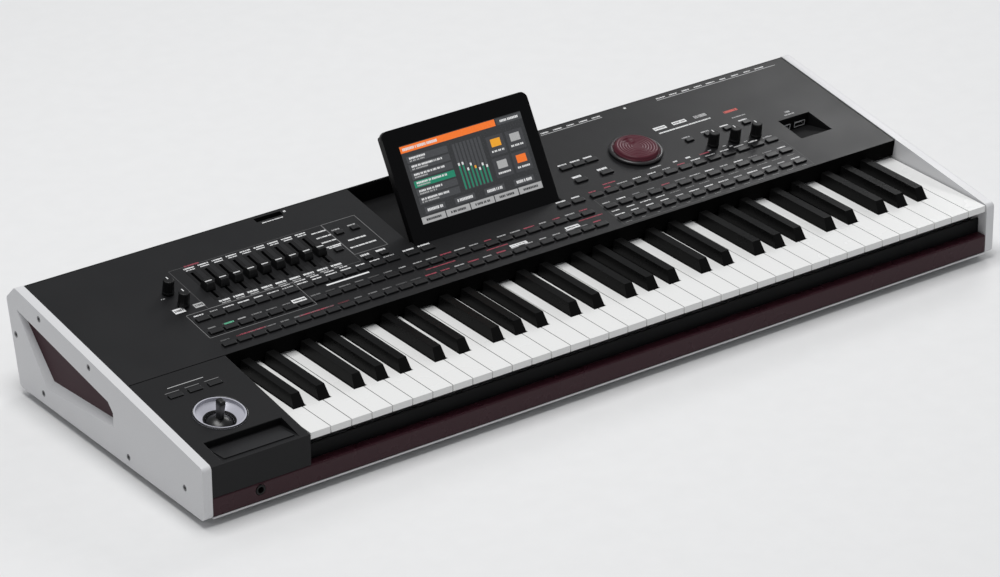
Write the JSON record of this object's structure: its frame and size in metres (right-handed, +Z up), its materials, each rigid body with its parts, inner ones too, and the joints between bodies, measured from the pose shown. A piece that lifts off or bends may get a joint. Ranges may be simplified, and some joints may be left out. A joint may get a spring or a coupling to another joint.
{
  "type": "arranger keyboard",
  "caption": "Arranger keyboard with sloped black control panel, tilting display, faders, dial, joystick and white end panels.",
  "frame": {"origin": "middle of the footprint, at the undersides of the feet", "axes": "+X to the player's right along the keys, +Y away from the player, +Z up"},
  "size_m": [0.9776, 0.3586, 0.1988],
  "materials": {
    "end_white": "satin paint",
    "insert_red": "semi gloss",
    "screw_steel": "satin",
    "bottom_silver": "satin",
    "foot_rubber": "matte",
    "rail_red": "semi gloss",
    "slip_black": "matte",
    "rear_black": "satin",
    "socket_black": "satin",
    "bay_black": "satin",
    "bed_steel": "matte",
    "rod_steel": "ground",
    "felt_red": "felt",
    "board_green": "satin",
    "panel_black": "satin paint",
    "pot_case": "satin",
    "tray_black": "matte",
    "block_black": "satin",
    "ribbon_dark": "matte",
    "bowl_silver": "satin",
    "supply_case": "plain",
    "key_white": "gloss",
    "key_black": "semi gloss",
    "fader_dark": "satin",
    "knob_black": "satin",
    "dial_brown": "satin",
    "display_black": "semi gloss",
    "screen_glass": "gloss",
    "gimbal_black": "satin",
    "stick_black": "gloss",
    "button_dark": "satin"
  },
  "bodies": {
    "case": {"left_end_panel": "end_white", "right_end_panel": "end_white", "end_inserts": "insert_red", "case_screws": "screw_steel", "bottom_plate": "bottom_silver", "rubber_feet": "foot_rubber", "front_rail": "rail_red", "key_slip": "slip_black", "rear_panel": "rear_black", "sockets": "socket_black", "usb_bay": "bay_black", "key_bed": "bed_steel", "key_pivot_rod": "rod_steel", "key_felt": "felt_red", "key_contact_board": "board_green", "top_panel": "panel_black", "panel_potentiometers": "pot_case", "display_tray": "tray_black", "joystick_block": "block_black", "ribbon_strip": "ribbon_dark", "joystick_bowl": "bowl_silver", "circuit_boards": "board_green", "power_supply": "supply_case"},
    "c_keys": {"c_keys": "key_white"},
    "d_keys": {"d_keys": "key_white"},
    "e_keys": {"e_keys": "key_white"},
    "f_keys": {"f_keys": "key_white"},
    "g_keys": {"g_keys": "key_white"},
    "a_keys": {"a_keys": "key_white"},
    "b_keys": {"b_keys": "key_white"},
    "c_sharp_keys": {"c_sharp_keys": "key_black"},
    "d_sharp_keys": {"d_sharp_keys": "key_black"},
    "f_sharp_keys": {"f_sharp_keys": "key_black"},
    "g_sharp_keys": {"g_sharp_keys": "key_black"},
    "a_sharp_keys": {"a_sharp_keys": "key_black"},
    "fader_1": {"fader_1": "fader_dark"},
    "fader_2": {"fader_2": "fader_dark"},
    "fader_3": {"fader_3": "fader_dark"},
    "fader_4": {"fader_4": "fader_dark"},
    "fader_5": {"fader_5": "fader_dark"},
    "fader_6": {"fader_6": "fader_dark"},
    "fader_7": {"fader_7": "fader_dark"},
    "fader_8": {"fader_8": "fader_dark"},
    "fader_9": {"fader_9": "fader_dark"},
    "left_rear_knob": {"left_rear_knob": "knob_black"},
    "left_front_knob": {"left_front_knob": "knob_black"},
    "right_first_knob": {"right_first_knob": "knob_black"},
    "right_second_knob": {"right_second_knob": "knob_black"},
    "right_third_knob": {"right_third_knob": "knob_black"},
    "data_dial": {"data_dial": "dial_brown"},
    "display": {"display_frame": "display_black", "display_glass": "screen_glass", "display_cover": "display_black"},
    "gimbal": {"joystick_gimbal": "gimbal_black"},
    "stick": {"joystick_stick": "stick_black"},
    "left_buttons": {"left_buttons": "button_dark"},
    "center_buttons": {"center_buttons": "button_dark"},
    "right_buttons": {"right_buttons": "button_dark"},
    "upper_buttons": {"upper_buttons": "button_dark"},
    "block_buttons": {"block_buttons": "button_dark"}
  },
  "joints": [
    {"name": "c_keys_press", "type": "hinge", "parent": "case", "child": "c_keys", "pos_m": [0, 0.00878, 0.0586], "axis": [1, 0, 0], "range_deg": [0, 3.06], "stiffness_Nm_per_rad": 5, "springref_deg": -3.44},
    {"name": "d_keys_press", "type": "hinge", "parent": "case", "child": "d_keys", "pos_m": [0, 0.00878, 0.0586], "axis": [1, 0, 0], "range_deg": [0, 3.06], "stiffness_Nm_per_rad": 5, "springref_deg": -3.44},
    {"name": "e_keys_press", "type": "hinge", "parent": "case", "child": "e_keys", "pos_m": [0, 0.00878, 0.0586], "axis": [1, 0, 0], "range_deg": [0, 3.06], "stiffness_Nm_per_rad": 5, "springref_deg": -3.44},
    {"name": "f_keys_press", "type": "hinge", "parent": "case", "child": "f_keys", "pos_m": [0, 0.00878, 0.0586], "axis": [1, 0, 0], "range_deg": [0, 3.06], "stiffness_Nm_per_rad": 5, "springref_deg": -3.44},
    {"name": "g_keys_press", "type": "hinge", "parent": "case", "child": "g_keys", "pos_m": [0, 0.00878, 0.0586], "axis": [1, 0, 0], "range_deg": [0, 3.06], "stiffness_Nm_per_rad": 5, "springref_deg": -3.44},
    {"name": "a_keys_press", "type": "hinge", "parent": "case", "child": "a_keys", "pos_m": [0, 0.00878, 0.0586], "axis": [1, 0, 0], "range_deg": [0, 3.06], "stiffness_Nm_per_rad": 5, "springref_deg": -3.44},
    {"name": "b_keys_press", "type": "hinge", "parent": "case", "child": "b_keys", "pos_m": [0, 0.00878, 0.0586], "axis": [1, 0, 0], "range_deg": [0, 3.06], "stiffness_Nm_per_rad": 5, "springref_deg": -3.44},
    {"name": "c_sharp_keys_press", "type": "hinge", "parent": "case", "child": "c_sharp_keys", "pos_m": [0, 0.00878, 0.0586], "axis": [1, 0, 0], "range_deg": [0, 3.06], "stiffness_Nm_per_rad": 5, "springref_deg": -3.44},
    {"name": "d_sharp_keys_press", "type": "hinge", "parent": "case", "child": "d_sharp_keys", "pos_m": [0, 0.00878, 0.0586], "axis": [1, 0, 0], "range_deg": [0, 3.06], "stiffness_Nm_per_rad": 5, "springref_deg": -3.44},
    {"name": "f_sharp_keys_press", "type": "hinge", "parent": "case", "child": "f_sharp_keys", "pos_m": [0, 0.00878, 0.0586], "axis": [1, 0, 0], "range_deg": [0, 3.06], "stiffness_Nm_per_rad": 5, "springref_deg": -3.44},
    {"name": "g_sharp_keys_press", "type": "hinge", "parent": "case", "child": "g_sharp_keys", "pos_m": [0, 0.00878, 0.0586], "axis": [1, 0, 0], "range_deg": [0, 3.06], "stiffness_Nm_per_rad": 5, "springref_deg": -3.44},
    {"name": "a_sharp_keys_press", "type": "hinge", "parent": "case", "child": "a_sharp_keys", "pos_m": [0, 0.00878, 0.0586], "axis": [1, 0, 0], "range_deg": [0, 3.06], "stiffness_Nm_per_rad": 5, "springref_deg": -3.44},
    {"name": "fader_1_slide", "type": "slide", "parent": "case", "child": "fader_1", "axis": [0, 0.9885, 0.1511], "range_m": [-0.0165, 0.0285]},
    {"name": "fader_2_slide", "type": "slide", "parent": "case", "child": "fader_2", "axis": [0, 0.9885, 0.1511], "range_m": [-0.0165, 0.0285]},
    {"name": "fader_3_slide", "type": "slide", "parent": "case", "child": "fader_3", "axis": [0, 0.9885, 0.1511], "range_m": [-0.0165, 0.0285]},
    {"name": "fader_4_slide", "type": "slide", "parent": "case", "child": "fader_4", "axis": [0, 0.9885, 0.1511], "range_m": [-0.0165, 0.0285]},
    {"name": "fader_5_slide", "type": "slide", "parent": "case", "child": "fader_5", "axis": [0, 0.9885, 0.1511], "range_m": [-0.0165, 0.0285]},
    {"name": "fader_6_slide", "type": "slide", "parent": "case", "child": "fader_6", "axis": [0, 0.9885, 0.1511], "range_m": [-0.0165, 0.0285]},
    {"name": "fader_7_slide", "type": "slide", "parent": "case", "child": "fader_7", "axis": [0, 0.9885, 0.1511], "range_m": [-0.0165, 0.0285]},
    {"name": "fader_8_slide", "type": "slide", "parent": "case", "child": "fader_8", "axis": [0, 0.9885, 0.1511], "range_m": [-0.0165, 0.0285]},
    {"name": "fader_9_slide", "type": "slide", "parent": "case", "child": "fader_9", "axis": [0, 0.9885, 0.1511], "range_m": [-0.0165, 0.0285]},
    {"name": "left_rear_knob_turn", "type": "hinge", "parent": "case", "child": "left_rear_knob", "pos_m": [-0.3605, 0.08473, 0.10309], "axis": [0, -0.1511, 0.9885], "range_deg": [-150, 150]},
    {"name": "left_front_knob_turn", "type": "hinge", "parent": "case", "child": "left_front_knob", "pos_m": [-0.3583, 0.05972, 0.09926], "axis": [0, -0.1511, 0.9885], "range_deg": [-150, 150]},
    {"name": "right_first_knob_turn", "type": "hinge", "parent": "case", "child": "right_first_knob", "pos_m": [0.296, 0.05171, 0.09804], "axis": [0, -0.1511, 0.9885], "range_deg": [-150, 150]},
    {"name": "right_second_knob_turn", "type": "hinge", "parent": "case", "child": "right_second_knob", "pos_m": [0.3223, 0.04816, 0.09749], "axis": [0, -0.1511, 0.9885], "range_deg": [-150, 150]},
    {"name": "right_third_knob_turn", "type": "hinge", "parent": "case", "child": "right_third_knob", "pos_m": [0.3489, 0.04559, 0.0971], "axis": [0, -0.1511, 0.9885], "range_deg": [-150, 150]},
    {"name": "data_dial_turn", "type": "hinge", "parent": "case", "child": "data_dial", "pos_m": [0.2145, 0.07959, 0.1023], "axis": [0, -0.1511, 0.9885], "continuous": true},
    {"name": "display_tilt", "type": "hinge", "parent": "case", "child": "display", "pos_m": [-0.0045, 0.04445, 0.09592], "axis": [1, 0, 0], "range_deg": [-51.31, 0]},
    {"name": "joystick_forward", "type": "hinge", "parent": "case", "child": "gimbal", "pos_m": [-0.4245, -0.10573, 0.04798], "axis": [1, 0, 0], "range_deg": [-18, 18], "stiffness_Nm_per_rad": 0.15},
    {"name": "joystick_sideways", "type": "hinge", "parent": "gimbal", "child": "stick", "pos_m": [-0.4245, -0.10573, 0.04798], "axis": [0, 0.9885, 0.1511], "range_deg": [-18, 18], "stiffness_Nm_per_rad": 0.15},
    {"name": "left_buttons_press", "type": "slide", "parent": "case", "child": "left_buttons", "axis": [0, 0.1511, -0.9885], "range_m": [0, 0.001], "stiffness_N_per_m": 600, "springref_m": -0.002},
    {"name": "center_buttons_press", "type": "slide", "parent": "case", "child": "center_buttons", "axis": [0, 0.1511, -0.9885], "range_m": [0, 0.001], "stiffness_N_per_m": 600, "springref_m": -0.002},
    {"name": "right_buttons_press", "type": "slide", "parent": "case", "child": "right_buttons", "axis": [0, 0.1511, -0.9885], "range_m": [0, 0.001], "stiffness_N_per_m": 600, "springref_m": -0.002},
    {"name": "upper_buttons_press", "type": "slide", "parent": "case", "child": "upper_buttons", "axis": [0, 0.1511, -0.9885], "range_m": [0, 0.001], "stiffness_N_per_m": 600, "springref_m": -0.002},
    {"name": "block_buttons_press", "type": "slide", "parent": "case", "child": "block_buttons", "axis": [0, 0.1511, -0.9885], "range_m": [0, 0.001], "stiffness_N_per_m": 600, "springref_m": -0.002}
  ]
}
